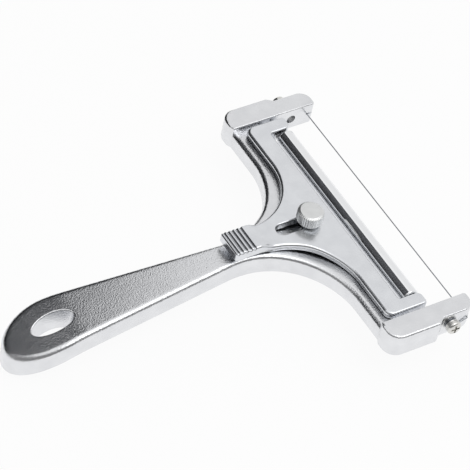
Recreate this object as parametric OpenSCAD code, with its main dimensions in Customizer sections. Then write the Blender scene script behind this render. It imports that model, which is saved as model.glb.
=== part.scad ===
// Wire cheese slicer with a sliding thickness plate.
// +X runs from the handle to the cutting wire, +Y to the left ear, +Z up.
// The origin is under the middle of the bounding box, at the underside of the handle's tip.

/* [Head] */
// Length from the handle's tip to the front of the ears
overall_length = 175; // [165:1:200]
// Width over the ears
head_width = 134.4; // [120:0.2:150]
// Depth of the head, from its back edge to the front of the ears
head_depth = 40.8; // [38:0.2:46]
// Height of the ears
ear_height = 11.2; // [10:0.1:14]
// Width of an ear at its back
ear_width = 10.4; // [9:0.1:13]
// Step inwards of an ear's outer side, where the wire screw sits
ear_step = 2.3; // [1.5:0.1:3]
// Length of the stepped front part of an ear
ear_front = 17.6; // [16:0.1:22]
// Rounding of an ear's back outer corner, seen from above
ear_corner_r = 6; // [2:0.5:8]
// Rounding of an ear's front outer corner, seen from above
ear_nose_r = 5; // [2:0.5:6]
// Thickness of the crossbar under the sliding plate
bar_height = 7.8; // [7:0.1:9]
// Step from the back of the ears forwards to the back of the crossbar
bar_setback = 1; // [0.5:0.1:1.2]
// Radius of the hollow shoulders between the neck and the head
shoulder_r = 35; // [28:0.5:37]
// Rounding of the casting's upper edges
top_edge_r = 2.2; // [1:0.1:2.6]
// Rounding of the casting's lower edges
under_edge_r = 0.9; // [0.5:0.1:2]

/* [Handle] */
// Width of the neck
neck_width = 12; // [10:0.2:16]
// Thickness of the handle
handle_height = 9.6; // [8:0.1:11]
// Angle at which each side of the handle widens towards the tip
handle_taper = 5.3; // [3:0.1:6.5]
// Height of the neck's top above the crossbar's top
neck_rise = 1.1; // [0.8:0.1:1.2]
// Length of the neck's narrow stretch in front of its waist, up to the ramp towards the head
neck_length = 2.5; // [0:0.5:4]
// Distance from the thumb screw's axis forwards to the foot of that ramp
ramp_foot = 2.2; // [0:0.1:2.6]
// Downward slope of the handle
handle_slope = 3.3; // [1:0.1:4]
// Length of the rounded end of the handle
tip_length = 24; // [16:0.5:30]
// Length of the handle's end that curls down
curl_length = 30.5; // [20:0.5:40]
// Radius of that curl
curl_r = 59; // [50:1:120]
// Length of the hanging hole
hang_length = 17.6; // [14:0.2:20]
// Width of the hanging hole
hang_width = 8.8; // [7:0.2:10]
// Distance from the tip to the middle of the hanging hole
hang_setback = 20.4; // [18:0.2:26]
// Draft of the hanging hole, by which each side comes in at its lower end
hang_draft = 1; // [0:0.1:1.5]

/* [Sliding plate] */
// Thickness of the plate
plate_height = 3; // [2.8:0.1:4]
// Gap between the plate's sides and the ears
plate_side_gap = 1.5; // [1:0.1:3]
// Width of the two arms that carry the roller
arm_width = 6.3; // [5:0.1:7]
// Reach of the arms past the roller's axis
arm_reach = 3.5; // [3:0.1:4.2]
// Height of the lugs at the arms' ends, in front of the crossbar, that hold the axle
lug_height = 6; // [5.4:0.1:7]
// Gap between the crossbar and the lugs
lug_gap = 0.6; // [0.3:0.1:1]
// Depth of the plate's wings behind the roller
wing_depth = 8.9; // [7:0.1:10]
// Radius of the hollow shoulders of the plate
plate_shoulder_r = 27.5; // [22:0.5:29]
// Rounding of the corners behind the wings' ends, seen from above
plate_corner_r = 3.4; // [1:0.1:4]
// Rounding of the arms' outer front corners, seen from above
arm_corner_r = 1.6; // [0.5:0.1:2]
// Rounding of the arms' inner front corners, seen from above
arm_nose_r = 2.5; // [0.5:0.1:2.8]
// Width of the thumb tab
tab_width = 13; // [11:0.2:15]
// Distance from the back of the wings to the end of the thumb tab
tab_reach = 41.5; // [40:0.5:44]
// Rise of the plate's middle, where the thumb screw clamps it, above its wings
middle_rise = 1.2; // [1.1:0.1:1.8]
// Distance from the back of the wings forwards to the ramp up to the plate's middle
ramp_lead = 1; // [0:0.1:2]
// Length of the ramp up to the plate's middle
middle_ramp_length = 12; // [9:0.5:13]
// Length of the plate's level middle
middle_length = 12; // [11:0.5:14]
// Rise of the thumb tab above the plate's middle
tab_rise = 2.4; // [1.8:0.1:3]
// Thickness of the thumb tab
tab_height = 4; // [3:0.1:4.4]
// Length of the ramp up to the thumb tab
tab_ramp_length = 7; // [4:0.5:8]
// Distance from the end of the thumb tab to its first groove
groove_start = 0.8; // [0.3:0.1:1]
// Number of grooves across the thumb tab
groove_count = 5; // [3:1:6]
// Distance from groove to groove
groove_pitch = 1.9; // [1.5:0.1:2.2]
// Width of a groove
groove_width = 0.8; // [0.5:0.1:1.1]
// Depth of a groove
groove_depth = 0.7; // [0.3:0.1:1]
// Travel of the plate towards the wire
plate_travel = 12; // [8:0.5:12.5]
// Length that the slot has to spare behind the travel
slot_spare = 0.4; // [0.2:0.1:2]

/* [Roller] */
// Diameter of the roller
roller_d = 8; // [7:0.1:9]
// Wall of the roller's tube
roller_wall = 0.8; // [0.6:0.1:1.2]
// Gap between the roller's ends and the arms
roller_end_gap = 0.9; // [0.85:0.05:2]
// Distance by which the roller lies towards the right arm, in the play that it has on its axle
roller_shift = 0.6; // [0:0.05:0.6]
// Depth of the roller's axis below the top of the plate
roller_drop = 3.7; // [3:0.1:4]
// Gap between the roller and the plate behind it
roller_back_gap = 2.5; // [1.6:0.1:3]
// Gap between the roller and the crossbar behind it
bar_gap = 0.6; // [0.5:0.1:0.8]
// Rounding of the roller's ends
roller_edge = 0.7; // [0.3:0.1:0.7]
// Diameter of the axle
axle_d = 1.8; // [1.4:0.1:2]
// Length of a bush inside the tube
bush_length = 6; // [4:0.5:12]
// Diameter of a bush's shoulder beside the arm
bush_shoulder_d = 4.6; // [3.6:0.1:5]

/* [Thumb screw] */
// Diameter of the knob
knob_d = 11; // [9:0.2:13]
// Height of the knob
knob_height = 5.4; // [4.5:0.1:8]
// Width of the bevel around the knob's top
knob_bevel = 1.1; // [0.4:0.1:1.6]
// Height of the bevels at the knob's top and bottom
knob_bevel_height = 0.6; // [0.3:0.1:1]
// Number of knurl grooves
knurl_count = 36; // [24:1:44]
// Depth of a knurl groove
knurl_depth = 0.3; // [0.1:0.05:0.4]
// Step between the bottom of the knurl grooves and the knob's bevels
knurl_step = 0.1; // [0.05:0.05:0.2]
// Diameter of the stud
stud_d = 4; // [3:0.1:5]
// Distance from the head's back edge to the stud's axis
stud_setback = 2.1; // [1:0.1:4]
// Length of the stud that sits in the knob
stud_seat = 3; // [2:0.1:3.5]
// Length of the stud inside the frame
stud_grip = 5; // [3:0.1:6]
// Diameter of the washer under the knob
thumb_washer_d = 9.4; // [8:0.1:11]
// Thickness of the washer under the knob
thumb_washer_height = 0.4; // [0.3:0.1:1]

/* [Wire] */
// Diameter of the cutting wire
wire_d = 0.5; // [0.3:0.05:0.6]
// Distance from the front of the ears to the wire
wire_setback = 3.2; // [2.6:0.1:3.5]
// Depth of the wire below the top of the ears
wire_drop = 5.2; // [4:0.1:6.5]
// Thinnest slice, the gap that the roller keeps from the wire
thin_slice = 0.7; // [0.5:0.05:1.2]
// Width of the slit in an ear that the wire lies in
slit_width = 1; // [0.8:0.05:1.4]
// Diameter of a wire screw
screw_d = 4; // [3:0.1:4.5]
// Distance from the front of the ears to the wire screws
screw_setback = 11; // [9.5:0.1:12.5]
// Depth of the wire screws below the top of the ears
screw_drop = 5.5; // [4.5:0.1:6.5]
// Diameter of a wire screw's head
screw_head_d = 6.2; // [5.6:0.1:8]
// Height of a wire screw's head
screw_head_height = 2.2; // [1.5:0.1:3]
// Rounding of a wire screw's head
screw_crown_r = 1.1; // [0.5:0.1:1.4]
// Distance of a wire screw's end from the inner side of its ear
screw_end_gap = 3.5; // [0.5:0.1:4.5]
// Width of the cross recess in a wire screw's head
recess_width = 0.9; // [0.6:0.1:1.2]
// Depth of the cross recess
recess_depth = 1.1; // [0.6:0.1:1.4]
// Thickness of a wire screw's washer
wire_washer_height = 0.6; // [0.4:0.1:1]

/* [Clearances] */
// Radial clearance of a shaft that turns in a bore
running_fit = 0.05; // [0.02:0.01:0.1]
// Gap between the sliding plate and the crossbar
slide_gap = 0.4; // [0.1:0.05:0.6]
// Gap between the stud and the sides of the slot
slot_gap = 0.8; // [0.1:0.05:1]
// Gap between a bush's shoulder and its arm
bush_gap = 0.75; // [0.7:0.05:0.8]
// Gap around the wire where it passes the ears and the wire screws
wire_gap = 0.1; // [0.05:0.01:0.15]

/* [Hidden] */

$fn = 48;

// Overlap that makes a cut pass right through a face
cut = 1;

// Places along the length, from the front to the tip
front_x = overall_length / 2;
tip_x = -front_x;
back_x = front_x - head_depth;
wire_x = front_x - wire_setback;
screw_x = front_x - screw_setback;
roller_x = wire_x - wire_d / 2 - thin_slice - plate_travel - roller_d / 2;
bar_front_x = roller_x - roller_d / 2 - bar_gap;
window_x = roller_x - roller_d / 2 - roller_back_gap;
wing_x = window_x - wing_depth;
arm_x = roller_x + arm_reach;
tab_x = wing_x - tab_reach;
stud_x = back_x + stud_setback;
bar_back_x = back_x + bar_setback;
neck_x = bar_back_x - shoulder_r;
hang_x = tip_x + hang_setback;
curl_x = tip_x + curl_length;

// Heights, from the lowest point under the handle's tip
lowest_x = tip_x + under_edge_r;
slope_fall = (neck_x - lowest_x) * tan(handle_slope);
curl_fall = pow(curl_x - lowest_x, 2) / (2 * curl_r);
tip_grade = tan(handle_slope) + (curl_x - lowest_x) / curl_r;
edge_sag = under_edge_r * (norm([1, tip_grade]) - 1);
neck_z = handle_height + slope_fall + curl_fall + edge_sag;
bar_z = neck_z - neck_rise;
head_z = bar_z - bar_height;
ear_z = head_z + ear_height;
plate_z = bar_z + slide_gap;
plate_top = plate_z + plate_height;
clamp_z = plate_top + middle_rise;
wire_z = ear_z - wire_drop;
screw_z = ear_z - screw_drop;
roller_z = plate_top - roller_drop;

// Places across the width
ear_outer = head_width / 2;
ear_inner = ear_outer - ear_width;
ear_front_outer = ear_outer - ear_step;
plate_half = ear_inner - plate_side_gap;
arm_inner = plate_half - arm_width;
roller_half = arm_inner - roller_end_gap;
wire_lane = ear_front_outer + wire_gap + wire_d / 2;
washer_y = wire_lane + wire_d / 2 + wire_gap;
head_y = washer_y + wire_washer_height;

// Slot of the sliding plate
slot_r = stud_d / 2 + slot_gap;
slot_run = plate_travel + slot_spare;

// The casting's ramp from the crossbar up to the neck
ramp_front_x = stud_x + ramp_foot;
ramp_back_x = neck_x + neck_length;

// The front ends of the plate's two ramps, up to its middle and up to the thumb tab
middle_ramp_x = wing_x + ramp_lead;
tab_ramp_x = middle_ramp_x - middle_ramp_length - middle_length;

// Handle outline: a shoulder arc, a straight taper and a rounded end
shoulder_y = neck_width / 2 + shoulder_r;
taper_start = [neck_x - shoulder_r * sin(handle_taper), shoulder_y - shoulder_r * cos(handle_taper)];
tip_centre_x = tip_x + tip_length;

function mix(a, b, t) = a + (b - a) * t;

function smooth(t) = let (u = min(max(t, 0), 1)) u * u * (3 - 2 * u);

// Points of an arc in steps, both ends included
function arc(centre, r, from, to, steps) = [
    for (i = [0:steps]) let (a = mix(from, to, i / steps)) centre + r * [cos(a), sin(a)]
];

// Height of the handle's top: a sloping line that curls down at its end
function handle_top(x) = neck_z - (neck_x - x) * tan(handle_slope) - pow(max(curl_x - x, 0), 2) / (2 * curl_r);

// Share of the handle in the casting's height, 0 on the crossbar and 1 past the ramp
function handle_share(x) = smooth((ramp_front_x - x) / (ramp_front_x - ramp_back_x));

function casting_top(x) = mix(bar_z, handle_top(x), handle_share(x));

function casting_under(x) = mix(head_z, handle_top(x) - handle_height, handle_share(x));

function taper_y(x) = taper_start.y + (taper_start.x - x) * tan(handle_taper);

// Point of the handle's rounded end at an angle, drawn in along its normal
function tip_point(t, inset) = let (
    x = tip_centre_x - tip_length * sin(t),
    along = [-cos(t), tan(handle_taper) * cos(t) * cos(t) - taper_y(x) * sin(t) / tip_length],
    out = [along.y, -along.x] / norm(along)
) [x, taper_y(x) * cos(t)] - inset * out;

// Length of the crossbar inside an ear
bar_overlap = 2.6;

// One half of the casting's outline from above, drawn in by an inset behind the crossbar's front, up to the tip
shoulder_steps = 16;
taper_steps = 10;
tip_steps = 16;
function half_outline(inset) = let (
    end_y = ear_inner + bar_overlap,
    shoulder = arc([neck_x, shoulder_y], shoulder_r + inset, 0, -90 - handle_taper, shoulder_steps)
) concat(
    [[bar_front_x, end_y], [bar_back_x + inset, end_y]],
    shoulder,
    [for (i = [1:taper_steps - 1]) mix(shoulder[shoulder_steps], tip_point(0, inset), i / taper_steps)],
    [for (i = [0:tip_steps]) tip_point(90 * i / tip_steps, inset)]
);

function mirrored(points) = [for (i = [len(points) - 2:-1:0]) [points[i].x, -points[i].y]];

function ring(inset) = let (half = half_outline(inset)) concat(half, mirrored(half));

// Rings of the casting's skin from the top edge down to the under edge: [inset, depth below the top or under]
edge_steps = 4;
function edge_rings(r) = [
    for (i = [0:edge_steps]) let (a = 90 * i / edge_steps) [r * (1 - sin(a)), r * (1 - cos(a))]
];

function casting_points() = concat(
    [for (e = edge_rings(top_edge_r)) for (p = ring(e[0])) [p.x, p.y, casting_top(p.x) - e[1]]],
    [
        for (i = [edge_steps:-1:0]) let (e = edge_rings(under_edge_r)[i])
            for (p = ring(e[0])) [p.x, p.y, casting_under(p.x) + e[1]]
    ]
);

// Closes a ring of n points with strips between its two halves
function cap(n, first) = let (last = first + n - 1, half = (n - 1) / 2) concat(
    [[first, first + 1, first + 2, last - 2, last - 1, last]],
    [for (i = [2:half - 2]) [first + i, first + i + 1, last - i - 1, last - i]],
    [[first + half - 1, first + half, first + half + 1]]
);

function flipped(face) = [for (i = [len(face) - 1:-1:0]) face[i]];

// Joins rings of n points, one after the other
function ring_walls(n, rings) = [
    for (k = [0:rings - 2]) for (i = [0:n - 1]) for (half = [0, 1])
        let (a = k * n + i, b = k * n + (i + 1) % n)
        half == 0 ? [a, a + n, b] : [b, a + n, b + n]
];

// Casting without its ears: crossbar, shoulders, neck and handle
module casting_skin() {
    count = len(ring(0));
    rings = 2 * (edge_steps + 1);
    faces = concat(
        [for (f = cap(count, 0)) flipped(f)],
        cap(count, (rings - 1) * count),
        ring_walls(count, rings)
    );
    polyhedron(points = casting_points(), faces = [for (f = faces) flipped(f)], convexity = 8);
}

corner_steps = 6;
module ear_plan() {
    polygon(concat(
        [[front_x, ear_inner]],
        arc([front_x - ear_nose_r, ear_front_outer - ear_nose_r], ear_nose_r, 0, 90, corner_steps),
        [[front_x - ear_front + ear_step / 2, ear_front_outer], [front_x - ear_front, ear_outer]],
        arc([back_x + ear_corner_r, ear_outer - ear_corner_r], ear_corner_r, 90, 180, corner_steps),
        [[back_x, ear_inner + 2 * bar_setback], [bar_back_x, ear_inner]]
    ));
}

module both_sides() {
    children();
    mirror([0, 1, 0]) children();
}

module along_y(x, y, z) {
    translate([x, y, z]) rotate([-90, 0, 0]) children();
}

module ear() {
    difference() {
        translate([0, 0, head_z]) linear_extrude(ear_height) ear_plan();
        along_y(screw_x, ear_inner - cut, screw_z)
            cylinder(d = screw_d + 2 * running_fit, h = ear_width + 2 * cut);
        translate([wire_x - wire_d / 2 - wire_gap, ear_inner - cut, wire_z - slit_width / 2])
            cube([wire_setback + wire_d + cut, ear_width + 2 * cut, slit_width]);
    }
}

// Hanging hole, an oval that narrows downwards
module hang_hole() {
    hole_steps = 32;
    under = casting_under(hang_x - hang_length) - cut;
    depth = handle_height + casting_under(hang_x + hang_length) - under + cut;
    lower = [hang_length, hang_width] / 2 - [hang_draft, hang_draft];
    translate([hang_x, 0, under])
        linear_extrude(depth, scale = [hang_length / 2 / lower.x, hang_width / 2 / lower.y], slices = 1)
            polygon([
                for (i = [0:hole_steps - 1]) let (a = 360 * i / hole_steps)
                    [lower.x * cos(a), lower.y * sin(a)]
            ]);
}

module frame() {
    color("lightsteelblue") union() {
        difference() {
            casting_skin();
            hang_hole();
            translate([stud_x, 0, head_z - cut])
                cylinder(d = stud_d + 2 * running_fit, h = bar_height + 2 * cut);
        }
        both_sides() ear();
    }
}

// Half of the sliding plate's outline, from the front of an arm to the middle of the tab's end
function plate_half_outline() = concat(
    arc([arm_x - arm_nose_r, arm_inner + arm_nose_r], arm_nose_r, -90, 0, corner_steps),
    arc([arm_x - arm_corner_r, plate_half - arm_corner_r], arm_corner_r, 0, 90, corner_steps),
    arc([wing_x + plate_corner_r, plate_half - plate_corner_r], plate_corner_r, 90, 180, corner_steps),
    arc([wing_x - plate_shoulder_r, tab_width / 2 + plate_shoulder_r], plate_shoulder_r, 0, -90, shoulder_steps),
    [[tab_x, tab_width / 2], [tab_x, 0]]
);

module plate_plan() {
    half = plate_half_outline();
    difference() {
        polygon(concat(half, mirrored(half)));
        translate([window_x, -arm_inner]) square([head_depth, 2 * arm_inner]);
    }
}

// Side view of the sliding plate: flat at the roller, raised over the neck and once more at the thumb tab
module plate_profile() {
    flat = [
        [front_x, plate_top],
        [middle_ramp_x, plate_top],
        [middle_ramp_x - middle_ramp_length, clamp_z],
        [tab_ramp_x, clamp_z]
    ];
    tab = [[tab_ramp_x - tab_ramp_length, clamp_z + tab_rise], [tab_x - cut, clamp_z + tab_rise]];
    polygon(concat(
        flat,
        tab,
        [for (p = flipped(tab)) p - [0, tab_height]],
        [for (p = flipped(flat)) p - [0, plate_height]]
    ));
}

// Lower ends of the arms, which reach into the plate by half of its thickness
module lugs() {
    translate([0, 0, plate_top - lug_height]) linear_extrude(lug_height - plate_height / 2) intersection() {
        plate_plan();
        translate([bar_front_x + lug_gap, -head_width / 2]) square([head_depth, head_width]);
    }
}

module slot() {
    depth = clamp_z - plate_z + 2 * cut;
    translate([stud_x, 0, plate_z - cut]) cylinder(r = slot_r, h = depth);
    translate([stud_x - slot_run, 0, plate_z - cut]) cylinder(r = slot_r, h = depth);
    translate([stud_x - slot_run, -slot_r, plate_z - cut]) cube([slot_run, 2 * slot_r, depth]);
}

module tab_grooves() {
    for (i = [0:groove_count - 1])
        translate([tab_x + groove_start + groove_pitch * i, -tab_width, clamp_z + tab_rise - groove_depth])
            cube([groove_width, 2 * tab_width, groove_depth + cut]);
}

module thickness_plate() {
    color("gainsboro") difference() {
        union() {
            intersection() {
                linear_extrude(clamp_z + tab_rise + cut) plate_plan();
                translate([0, head_width, 0]) rotate([90, 0, 0]) linear_extrude(2 * head_width) plate_profile();
            }
            lugs();
        }
        slot();
        tab_grooves();
        along_y(roller_x, -head_width, roller_z) cylinder(d = axle_d, h = 2 * head_width);
    }
}

module roller_tube() {
    outer = roller_d / 2;
    inner = outer - roller_wall;
    color("silver") along_y(roller_x, -roller_shift, roller_z) rotate_extrude()
        polygon([
            [inner, -roller_half],
            [outer - roller_edge, -roller_half],
            [outer, roller_edge - roller_half],
            [outer, roller_half - roller_edge],
            [outer - roller_edge, roller_half],
            [inner, roller_half]
        ]);
}

module roller_bush() {
    tube_inner = roller_d / 2 - roller_wall;
    bore = axle_d / 2 + running_fit;
    color("dimgray") along_y(roller_x, 0, roller_z) rotate_extrude()
        polygon([
            [bore, roller_half - bush_length],
            [tube_inner, roller_half - bush_length],
            [tube_inner, roller_half],
            [bush_shoulder_d / 2, roller_half],
            [bush_shoulder_d / 2, arm_inner - bush_gap],
            [bore, arm_inner - bush_gap]
        ]);
}

module roller_bush_left() {
    translate([0, -roller_shift, 0]) roller_bush();
}

module roller_bush_right() {
    translate([0, -roller_shift, 0]) mirror([0, 1, 0]) roller_bush();
}

module roller_axle() {
    color("darkgray") along_y(roller_x, -plate_half, roller_z) cylinder(d = axle_d, h = 2 * plate_half);
}

// Knurled outline: straight teeth from a root circle to the knob's full radius
function knurl(r) = [
    for (i = [0:2 * knurl_count - 1])
        let (a = 180 * i / knurl_count) (r - (i % 2) * knurl_depth) * [cos(a), sin(a)]
];

module thumb_knob() {
    r = knob_d / 2;
    root = r - knurl_depth - knurl_step;
    color("lightgray") translate([stud_x, 0, clamp_z + thumb_washer_height]) difference() {
        union() {
            cylinder(r1 = root - knob_bevel_height, r2 = root, h = knob_bevel_height);
            translate([0, 0, knob_bevel_height])
                linear_extrude(knob_height - 2 * knob_bevel_height) polygon(knurl(r));
            translate([0, 0, knob_height - knob_bevel_height])
                cylinder(r1 = root, r2 = r - knob_bevel, h = knob_bevel_height);
        }
        translate([0, 0, -cut]) cylinder(d = stud_d, h = stud_seat + cut);
    }
}

module thumb_stud() {
    top = clamp_z + thumb_washer_height + stud_seat;
    color("darkgray") translate([stud_x, 0, bar_z - stud_grip])
        cylinder(d = stud_d, h = top - bar_z + stud_grip);
}

module thumb_washer() {
    color("lightgray") translate([stud_x, 0, clamp_z]) difference() {
        cylinder(d = thumb_washer_d, h = thumb_washer_height);
        translate([0, 0, -cut]) cylinder(d = stud_d + 2 * running_fit, h = thumb_washer_height + 2 * cut);
    }
}

module wire_screw() {
    shank_length = head_y - ear_inner - screw_end_gap;
    r = screw_head_d / 2;
    crown = [r - screw_crown_r, screw_head_height - screw_crown_r];
    color("gainsboro") difference() {
        union() {
            along_y(screw_x, head_y - shank_length, screw_z) cylinder(d = screw_d, h = shank_length);
            along_y(screw_x, head_y, screw_z) rotate_extrude()
                polygon(concat(
                    [[0, 0], [r, 0]],
                    arc(crown, screw_crown_r, 0, 90, corner_steps),
                    [[0, screw_head_height]]
                ));
        }
        for (turn = [0, 90])
            along_y(screw_x, head_y + screw_head_height - recess_depth, screw_z)
                rotate(turn) translate([-recess_width / 2, -screw_d / 2, 0])
                    cube([recess_width, screw_d, recess_depth + cut]);
    }
}

module wire_screw_left() {
    wire_screw();
}

module wire_screw_right() {
    mirror([0, 1, 0]) wire_screw();
}

module wire_washer() {
    color("lightgray") along_y(screw_x, washer_y, screw_z) difference() {
        cylinder(d = screw_head_d, h = wire_washer_height);
        translate([0, 0, -cut]) cylinder(d = screw_d + 2 * running_fit, h = wire_washer_height + 2 * cut);
    }
}

module wire_washer_left() {
    wire_washer();
}

module wire_washer_right() {
    mirror([0, 1, 0]) wire_washer();
}

// The wire's loop around a screw, from its free end to the place where the wire leaves it
loop_r = screw_d / 2 + wire_gap + wire_d / 2;
loop_start = 10;
loop_end = 300;
loop_steps = 14;

// The wire's bend into the slit
bend_r = wire_d / 2 + wire_gap;
bend_steps = 4;

// Half of the wire's route: a loop around the screw, a run along the ear and a bend into the slit
function wire_half_route() = let (bend = [wire_x - bend_r, wire_lane - bend_r]) concat(
    [
        for (p = arc([screw_x, screw_z], loop_r, loop_start, loop_end, loop_steps))
            [p.x, wire_lane, p.y]
    ],
    [for (p = arc(bend, bend_r, 90, 0, bend_steps)) [p.x, p.y, wire_z]]
);

function wire_route() = let (half = wire_half_route()) concat(
    half,
    [for (i = [len(half) - 1:-1:0]) [half[i].x, -half[i].y, half[i].z]]
);

function unit(v) = v / norm(v);

function tangent(route, i) =
    unit(route[min(i + 1, len(route) - 1)] - route[max(i - 1, 0)]);

// Normals along a route, each the one before it turned square to the next tangent
function normals(route) = [
    for (
        i = 0, n = [0, 1, 0];
        i < len(route);
        i = i + 1, n = i < len(route)
            ? unit(n - (n * tangent(route, i)) * tangent(route, i))
            : n
    ) n
];

wire_sides = 8;
module cutting_wire() {
    route = wire_route();
    side = normals(route);
    count = len(route);
    points = [
        for (i = [0:count - 1]) for (k = [0:wire_sides - 1])
            let (a = 360 * k / wire_sides, up = cross(tangent(route, i), side[i]))
            route[i] + wire_d / 2 * (cos(a) * side[i] + sin(a) * up)
    ];
    start = [for (k = [0:wire_sides - 1]) k];
    end = [for (k = [wire_sides - 1:-1:0]) (count - 1) * wire_sides + k];
    walls = [
        for (i = [0:count - 2]) for (k = [0:wire_sides - 1]) for (half = [0, 1])
            let (a = i * wire_sides + k, b = i * wire_sides + (k + 1) % wire_sides)
            half == 0 ? [a, a + wire_sides, b] : [b, a + wire_sides, b + wire_sides]
    ];
    color("gray") polyhedron(points = points, faces = concat([start, end], walls), convexity = 10);
}

frame();
thickness_plate();
roller_tube();
roller_bush_left();
roller_bush_right();
roller_axle();
thumb_knob();
thumb_stud();
thumb_washer();
cutting_wire();
wire_screw_left();
wire_screw_right();
wire_washer_left();
wire_washer_right();
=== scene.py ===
# %% [markdown]
# # A wire cheese slicer with a roller
# The slicer is a chrome-plated casting with a taut wire across its head. A sliding plate carries a roller,
# and a knurled thumb screw holds the plate at the distance from the wire that gives the slice its thickness.
# This lesson loads the solid model as a fixed frame, puts finer surfaces in the place of its pieces, gives
# each one the finish of its metal, and sets up a camera and a soft light.

import bmesh
import bpy
import numpy as np
from mathutils import Matrix
from mathutils.geometry import delaunay_2d_cdt


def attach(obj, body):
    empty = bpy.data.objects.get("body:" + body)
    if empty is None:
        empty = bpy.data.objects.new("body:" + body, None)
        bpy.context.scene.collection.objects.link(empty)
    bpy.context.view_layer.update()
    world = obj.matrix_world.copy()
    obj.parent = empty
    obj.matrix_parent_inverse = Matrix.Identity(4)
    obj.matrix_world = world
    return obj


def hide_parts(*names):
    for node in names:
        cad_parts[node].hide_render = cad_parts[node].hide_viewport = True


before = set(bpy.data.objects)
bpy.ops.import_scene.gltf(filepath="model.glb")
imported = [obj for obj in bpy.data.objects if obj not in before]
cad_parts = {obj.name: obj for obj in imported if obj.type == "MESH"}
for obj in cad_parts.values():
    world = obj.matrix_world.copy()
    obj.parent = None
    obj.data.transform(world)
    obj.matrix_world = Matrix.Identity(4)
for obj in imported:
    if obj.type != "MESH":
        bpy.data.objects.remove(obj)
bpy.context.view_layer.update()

# %% [markdown]
# ## Sizes
# The pieces have to meet the solids, so the sizes are the same ones, in millimetres. X runs from the handle
# to the wire, Y to the left ear and Z up.

# %% Sizes in millimetres
MM = 0.001
BORE_GAP, CUT_OVER = 0.05, 2.0
FRONT_X, BACK_X, BAR_BACK_X, TIP_X = 87.5, 46.7, 47.7, -87.5
HEAD_Z, BAR_Z, EAR_Z, NECK_Z = 13.9819, 21.7819, 25.1819, 22.8819
EAR_INNER, EAR_OUTER, EAR_STEP, EAR_FRONT = 56.8, 67.2, 2.3, 17.6
NECK_X, SHOULDER_R, NECK_WIDTH, TAPER = 12.7, 35.0, 12.0, np.radians(5.3)
RAMP_FRONT_X, RAMP_BACK_X = 51.0, 15.2
SLOPE, CURL_X, CURL_R, HANDLE_HEIGHT, TIP_LENGTH = np.radians(3.3), -57.0, 59.0, 9.6, 24.0
HANG_X, HANG_LENGTH, HANG_WIDTH, HANG_DRAFT = -67.1, 17.6, 8.8, 1.0
PLATE_TOP, PLATE_HEIGHT, TAB_HEIGHT, MIDDLE_RISE, TAB_RISE = 25.1819, 3.0, 4.0, 1.2, 2.4
WINDOW_X, WING_X, ARM_X, TAB_X, TAB_WIDTH = 60.85, 51.95, 70.85, 10.45, 13.0
PLATE_HALF, ARM_INNER, PLATE_SHOULDER_R, PLATE_CORNER_R = 55.3, 49.0, 27.5, 3.4
ARM_CORNER_R, ARM_NOSE_R, LUG_X, LUG_HEIGHT = 1.6, 2.5, 63.35, 6.0
MIDDLE_RAMP, TAB_RAMP = (52.95, 40.95), (28.95, 21.95)
STUD_X, STUD_R, SLOT_R, SLOT_RUN = 48.8, 2.0, 2.8, 12.4
ROLLER_X, ROLLER_Z, ROLLER_SHIFT = 67.35, 21.4819, 0.6
SCREW_X, SCREW_Z, SCREW_R = 76.5, 19.6819, 2.0
WIRE_X, WIRE_Z, WIRE_R, WIRE_GAP = 84.3, 19.9819, 0.25, 0.1
CLAMP_Z = PLATE_TOP + MIDDLE_RISE
print("length", FRONT_X - TIP_X, "mm, width over the ears", 2 * EAR_OUTER, "mm")

# %% [markdown]
# ## Camera
# The photograph was taken from behind the right shoulder of the handle, from about 46 degrees up and with a
# long lens. The camera comes first, so that each piece can be judged in the picture as soon as it stands. Its
# three axes are built from where it is, where it looks and how far it rolls.

# %% Camera
CAMERA_AT = np.array((-507.593, -616.748, 880.565)) * MM
CAMERA_AIM = np.array((20.712, 9.528, 20.0)) * MM
CAMERA_ROLL = np.radians(12.63)
LENS, SENSOR_WIDTH, CLIP_END = 228.05, 36.0, 10.0


def unit(vectors):
    """Vectors divided by their lengths."""
    return vectors / np.linalg.norm(vectors, axis=-1, keepdims=True)


ahead = unit(CAMERA_AIM - CAMERA_AT)
level = unit(np.cross(ahead, (0.0, 0.0, 1.0)))
upright = np.cross(level, ahead)
right = np.cos(CAMERA_ROLL) * level + np.sin(CAMERA_ROLL) * upright
up = np.cross(right, ahead)
camera_data = bpy.data.cameras.new("camera")
camera_data.sensor_width = SENSOR_WIDTH
camera_data.lens = LENS
camera_data.clip_end = CLIP_END
camera = bpy.data.objects.new("camera", camera_data)
camera_axes = np.column_stack((right, up, -ahead))
camera.matrix_world = Matrix([(*row, place) for row, place in zip(camera_axes, CAMERA_AT)] + [(0, 0, 0, 1)])
bpy.context.scene.collection.objects.link(camera)
bpy.context.scene.camera = camera
print("camera", round(float(np.linalg.norm(CAMERA_AIM - CAMERA_AT)), 3), "m away, lens", LENS, "mm")

# %% [markdown]
# ## Colours and nodes
# Finishes are node trees. Colours are written as the hex values that a screen shows, and one function turns
# them to the linear light that Blender mixes. One small function adds a node with its settings and its links,
# which keeps each finish short enough to read. Patterns take Object coordinates, which are metres here, so a
# pattern with features of a given size in millimetres needs a scale of 1000 over that size. The sockets of a
# colour Mix node share their names, so they go by number: the factor, the two colours and the result.

# %% Colour and node helpers
MIX_FACTOR, MIX_ONE, MIX_TWO, MIX_RESULT = 0, 6, 7, 2
CLOUD_DETAIL, SPECK_DETAIL, SPECK_ROUGHNESS = 3.0, 2.0, 0.6


def linear(code):
    """A hex colour as linear light: the sRGB curve undone, a line near black and a power of 2.4 above it."""
    share = np.array([int(code[i:i + 2], 16) for i in (1, 3, 5)]) / 255
    light = np.where(share <= 0.04045, share / 12.92, ((share + 0.055) / 1.055) ** 2.4)
    return (*light, 1.0)


def per_mm(size):
    """Scale of a pattern whose features are this many millimetres wide."""
    return 1000.0 / size


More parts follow.
